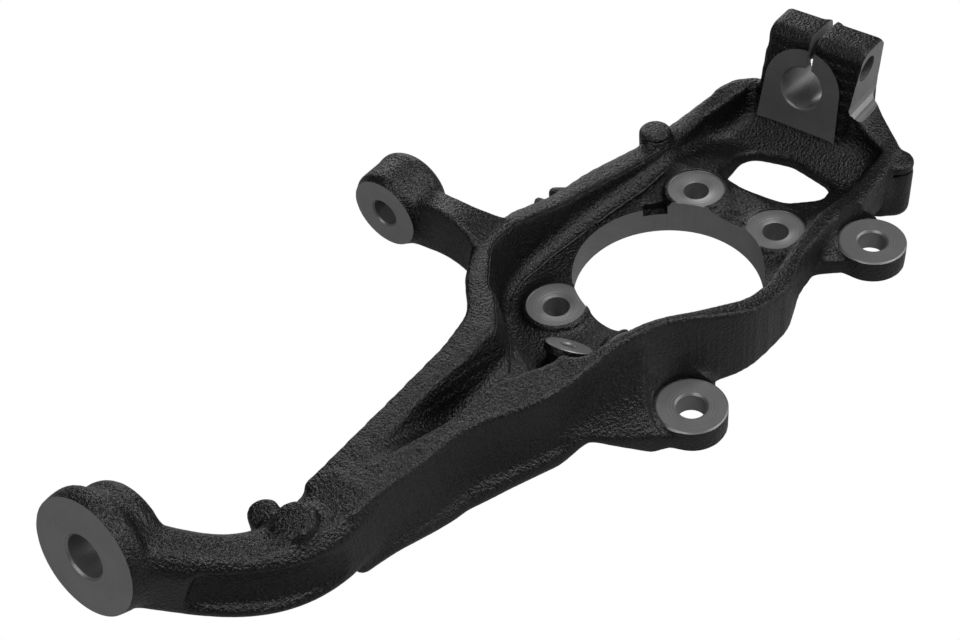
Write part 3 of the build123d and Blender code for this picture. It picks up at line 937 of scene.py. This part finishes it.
def metal_material():
    """Bare iron with turning rings on the round seats and level marks on the clamp."""
    material, tree, shader, place = new_material("machined_iron")
    shader.inputs["Metallic"].default_value = METAL_SHARE
    split = add_node(tree, "ShaderNodeSeparateXYZ", [(0, place)])
    on_clamp = number(tree, "GREATER_THAN", split.outputs["X"], BLOCK_FRONT_X * MM)
    rings = turned_distance(tree, place)
    line = add_node(tree, "ShaderNodeMix", [(0, on_clamp), (2, rings), (3, split.outputs["Z"])]).outputs[0]
    inputs = [("W", line), ("Scale", RING_SCALE), ("Detail", 2.0)]
    marks = add_node(tree, "ShaderNodeTexNoise", inputs, noise_dimensions="1D").outputs["Fac"]
    patches = noise(tree, place, METAL_PATCH_SCALE, METAL_PATCH_DETAIL)
    level = number(tree, "MULTIPLY", number(tree, "ADD", marks, patches), 0.5)
    inputs = [(0, level), (6, METAL_DARK), (7, METAL_LIGHT)]
    colour = add_node(tree, "ShaderNodeMix", inputs, data_type="RGBA")
    tree.links.new(colour.outputs[2], shader.inputs["Base Color"])
    rough = number(tree, "MULTIPLY_ADD", marks, RING_ROUGHNESS, METAL_ROUGHNESS - RING_ROUGHNESS / 2)
    tree.links.new(rough, shader.inputs["Roughness"])
    tree.links.new(bumped(tree, marks, RING_DEPTH, RING_STRENGTH), shader.inputs["Normal"])
    return material


def floor_material():
    """Plain floor that shows white to the camera."""
    material = bpy.data.materials.new("floor_white")
    material.use_nodes = True
    tree = material.node_tree
    tree.nodes.clear()
    seen = add_node(tree, "ShaderNodeLightPath").outputs["Is Camera Ray"]
    paint = add_node(tree, "ShaderNodeBsdfDiffuse", [("Color", FLOOR_COLOUR)]).outputs["BSDF"]
    glow = add_node(tree, "ShaderNodeEmission", [("Color", WHITE), ("Strength", 1)]).outputs["Emission"]
    mix = add_node(tree, "ShaderNodeMixShader", [("Fac", seen), (1, paint), (2, glow)]).outputs["Shader"]
    add_node(tree, "ShaderNodeOutputMaterial", [("Surface", mix)])
    return material


def set_floor():
    """Level floor just under the object."""
    mesh = bpy.data.meshes.new("floor")
    corners = [(-FLOOR_HALF, -FLOOR_HALF, 0), (FLOOR_HALF, -FLOOR_HALF, 0), (FLOOR_HALF, FLOOR_HALF, 0),
               (-FLOOR_HALF, FLOOR_HALF, 0)]
    mesh.from_pydata(corners, [], [(0, 1, 2, 3)])
    mesh.materials.append(floor_material())
    floor = new_object("floor", mesh)
    floor.location = (0, 0, FLOOR_HEIGHT)


def set_world():
    """World that shows white to the camera and lights the room faintly."""
    world = bpy.data.worlds.new("studio")
    bpy.context.scene.world = world
    world.use_nodes = True
    tree = world.node_tree
    seen = add_node(tree, "ShaderNodeLightPath").outputs["Is Camera Ray"]
    back = tree.nodes["Background"]
    back.inputs["Color"].default_value = WHITE
    tree.links.new(number(tree, "MULTIPLY_ADD", seen, 1 - ROOM_LIGHT, ROOM_LIGHT), back.inputs["Strength"])


def lamp(name, turn, height, power):
    """Soft square lamp on a dome round the object, from its turn and height in degrees and its watts."""
    data = bpy.data.lights.new(name, "AREA")
    data.size = LAMP_SIZE
    data.energy = power
    item = new_object(name, data)
    turn, height = radians(turn), radians(height)
    away = Vector((cos(turn) * cos(height), sin(turn) * cos(height), sin(height)))
    item.location = LAMP_TARGET + away * LAMP_DISTANCE
    item.rotation_euler = (-away).to_track_quat("-Z", "Y").to_euler()


def set_camera():
    """Camera at the photograph's place, aim, roll and lens."""
    data = bpy.data.cameras.new("camera")
    data.lens = CAMERA_LENS
    data.sensor_width = CAMERA_SENSOR
    data.clip_start = CAMERA_NEAR
    camera = new_object("camera", data)
    aim = (CAMERA_TARGET - CAMERA_PLACE).to_track_quat("-Z", "Y").to_matrix().to_4x4()
    camera.matrix_world = Matrix.Translation(CAMERA_PLACE * MM) @ aim @ Matrix.Rotation(CAMERA_ROLL, 4, "Z")
    bpy.context.scene.camera = camera


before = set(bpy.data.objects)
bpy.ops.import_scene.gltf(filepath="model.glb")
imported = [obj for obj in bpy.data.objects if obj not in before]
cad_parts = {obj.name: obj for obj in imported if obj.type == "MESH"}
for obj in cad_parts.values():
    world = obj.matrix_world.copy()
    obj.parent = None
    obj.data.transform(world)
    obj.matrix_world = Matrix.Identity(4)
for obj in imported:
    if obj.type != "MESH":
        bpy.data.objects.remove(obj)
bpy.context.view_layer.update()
coat = coat_material()
metal = metal_material()
casting = casting_mesh(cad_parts[NODE], coat)
thin_out(casting)
combine(casting, added_pieces(metal, coat), "UNION")
combine(casting, cutters(metal, coat) + shape_tools(metal, coat), "DIFFERENCE")
mark_crease(casting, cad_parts[NODE])
shade(casting, CRISP_ANGLE)
casting.name = "steering_knuckle_casting"
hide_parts(NODE)
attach(casting, "root")
set_floor()
set_world()
for name, turn, height, power in LAMPS:
    lamp(name, turn, height, power)
set_camera()
bpy.context.scene.view_settings.view_transform = "Standard"
